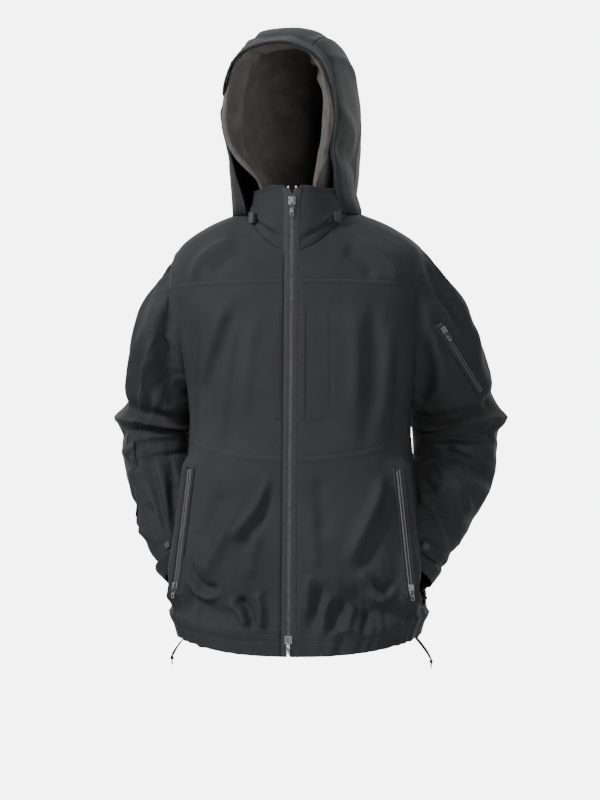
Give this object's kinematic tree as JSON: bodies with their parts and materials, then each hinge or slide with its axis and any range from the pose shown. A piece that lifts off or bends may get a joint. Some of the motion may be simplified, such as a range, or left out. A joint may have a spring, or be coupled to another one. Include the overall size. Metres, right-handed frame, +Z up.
{
  "type": "hardshell jacket",
  "caption": "Hooded hardshell jacket with a two-way front zip, zipped hand and sleeve pockets, snap cuff tabs and a drawcord hem, in a hands-in-pockets stance.",
  "frame": {"origin": "between the shoulders at the base of the neck, where the wearer's shoulders carry the jacket", "axes": "-Y the way the jacket faces, +X the wearer's left, +Z up"},
  "size_m": [0.611, 0.3394, 0.9867],
  "materials": {
    "shell_fabric": "matte woven face",
    "zip_tape": "laminated satin tape",
    "fleece": "brushed",
    "webbing": "woven",
    "cord": "braided",
    "trim_plastic": "satin",
    "zip_metal": "dark satin enamel"
  },
  "bodies": {
    "torso": {"back_panel": "shell_fabric", "back_yoke": "shell_fabric", "hanger_loop": "webbing", "hem_band": "shell_fabric", "left_chest_panel": "shell_fabric", "left_chest_welt": "shell_fabric", "left_collar": "shell_fabric", "left_cord_knot": "trim_plastic", "left_cord_lock": "trim_plastic", "left_hand_pocket_bag": "fleece", "left_hand_pocket_zip": "zip_tape", "left_hem_cord": "cord", "left_hood_adjuster": "trim_plastic", "left_lower_front": "shell_fabric", "left_yoke": "shell_fabric", "left_zip_half": "zip_tape", "right_chest_panel": "shell_fabric", "right_chest_welt": "shell_fabric", "right_collar": "shell_fabric", "right_cord_knot": "trim_plastic", "right_cord_lock": "trim_plastic", "right_hand_pocket_bag": "fleece", "right_hand_pocket_zip": "zip_tape", "right_hem_cord": "cord", "right_hood_adjuster": "trim_plastic", "right_lower_front": "shell_fabric", "right_yoke": "shell_fabric", "right_zip_half": "zip_tape", "storm_flap": "shell_fabric"},
    "hood": {"hood_crown": "shell_fabric", "right_hood_side": "shell_fabric", "left_hood_side": "shell_fabric", "hood_brim": "shell_fabric", "hood_lining": "fleece", "hood_gusset": "shell_fabric"},
    "left_sleeve": {"left_sleeve_head": "shell_fabric", "left_upper_sleeve": "shell_fabric", "left_forearm": "shell_fabric", "left_cuff": "shell_fabric", "sleeve_pocket_zip": "zip_tape"},
    "right_sleeve": {"right_sleeve_head": "shell_fabric", "right_upper_sleeve": "shell_fabric", "right_forearm": "shell_fabric", "right_cuff": "shell_fabric"},
    "left_cuff_tab": {"left_cuff_tab": "shell_fabric", "left_snap_cap": "zip_metal"},
    "right_cuff_tab": {"right_cuff_tab": "shell_fabric", "right_snap_cap": "zip_metal"},
    "left_lock_button": {"left_lock_button": "zip_metal"},
    "right_lock_button": {"right_lock_button": "zip_metal"},
    "top_slider": {"top_slider": "zip_metal"},
    "top_pull": {"top_pull": "zip_metal"},
    "bottom_slider": {"bottom_slider": "zip_metal"},
    "bottom_pull": {"bottom_pull": "zip_metal"},
    "left_hand_pocket_slider": {"left_hand_pocket_slider": "zip_metal"},
    "left_hand_pocket_pull": {"left_hand_pocket_pull": "zip_metal"},
    "right_hand_pocket_slider": {"right_hand_pocket_slider": "zip_metal"},
    "right_hand_pocket_pull": {"right_hand_pocket_pull": "zip_metal"},
    "sleeve_pocket_slider": {"sleeve_pocket_slider": "zip_metal"},
    "sleeve_pocket_pull": {"sleeve_pocket_pull": "zip_metal"}
  },
  "joints": [
    {"name": "hood_fold", "type": "hinge", "parent": "torso", "child": "hood", "pos_m": [0, 0.02, 0], "axis": [-1, 0, 0], "range_deg": [0, 45], "deforming": ["hood_gusset"]},
    {"name": "left_sleeve_swing", "type": "hinge", "parent": "torso", "child": "left_sleeve", "pos_m": [0.172, 0, -0.105], "axis": [0, -1, 0], "range_deg": [0, 45], "deforming": ["left_sleeve_head"]},
    {"name": "right_sleeve_swing", "type": "hinge", "parent": "torso", "child": "right_sleeve", "pos_m": [-0.172, 0, -0.105], "axis": [0, 1, 0], "range_deg": [0, 45], "deforming": ["right_sleeve_head"]},
    {"name": "main_zip_top_slide", "type": "slide", "parent": "torso", "child": "top_slider", "axis": [0, -0.0642, -0.9979], "range_m": [0, 0.44]},
    {"name": "top_pull_swing", "type": "hinge", "parent": "top_slider", "child": "top_pull", "pos_m": [0, -0.1111, 0.00767], "axis": [-1, 0, 0], "range_deg": [0, 165]},
    {"name": "main_zip_bottom_slide", "type": "slide", "parent": "torso", "child": "bottom_slider", "axis": [0, 0.0642, 0.9979], "range_m": [0, 0.18]},
    {"name": "bottom_pull_swing", "type": "hinge", "parent": "bottom_slider", "child": "bottom_pull", "pos_m": [0, -0.15338, -0.64897], "axis": [-1, 0, 0], "range_deg": [0, 165]},
    {"name": "left_hand_pocket_slide", "type": "slide", "parent": "torso", "child": "left_hand_pocket_slider", "axis": [-0.1107, 0.0728, 0.9912], "range_m": [0, 0.155]},
    {"name": "left_hand_pocket_pull_swing", "type": "hinge", "parent": "left_hand_pocket_slider", "child": "left_hand_pocket_pull", "pos_m": [0.18044, -0.10692, -0.57318], "axis": [-0.9022, -0.4257, -0.0695], "range_deg": [0, 165]},
    {"name": "right_hand_pocket_slide", "type": "slide", "parent": "torso", "child": "right_hand_pocket_slider", "axis": [0.1107, 0.0728, 0.9912], "range_m": [0, 0.155]},
    {"name": "right_hand_pocket_pull_swing", "type": "hinge", "parent": "right_hand_pocket_slider", "child": "right_hand_pocket_pull", "pos_m": [-0.18044, -0.10692, -0.57318], "axis": [-0.9022, 0.4257, 0.0695], "range_deg": [0, 165]},
    {"name": "sleeve_pocket_slide", "type": "slide", "parent": "left_sleeve", "child": "sleeve_pocket_slider", "axis": [0.4583, 0.4541, -0.7641], "range_m": [0, 0.105]},
    {"name": "sleeve_pocket_pull_swing", "type": "hinge", "parent": "sleeve_pocket_slider", "child": "sleeve_pocket_pull", "pos_m": [0.22715, -0.04153, -0.18541], "axis": [-0.6742, -0.3825, -0.6317], "range_deg": [0, 165]},
    {"name": "left_cuff_tab_open", "type": "hinge", "parent": "left_sleeve", "child": "left_cuff_tab", "pos_m": [0.21821, -0.04835, -0.52909], "axis": [0.4227, 0.4045, 0.811], "range_deg": [0, 90]},
    {"name": "left_lock_press", "type": "slide", "parent": "torso", "child": "left_lock_button", "axis": [0, 0, -1], "range_m": [0, 0.003], "stiffness_N_per_m": 200, "springref_m": -0.002},
    {"name": "right_cuff_tab_open", "type": "hinge", "parent": "right_sleeve", "child": "right_cuff_tab", "pos_m": [-0.21821, -0.04835, -0.52909], "axis": [0.4227, -0.4045, -0.811], "range_deg": [0, 90]},
    {"name": "right_lock_press", "type": "slide", "parent": "torso", "child": "right_lock_button", "axis": [0, 0, -1], "range_m": [0, 0.003], "stiffness_N_per_m": 200, "springref_m": -0.002}
  ]
}
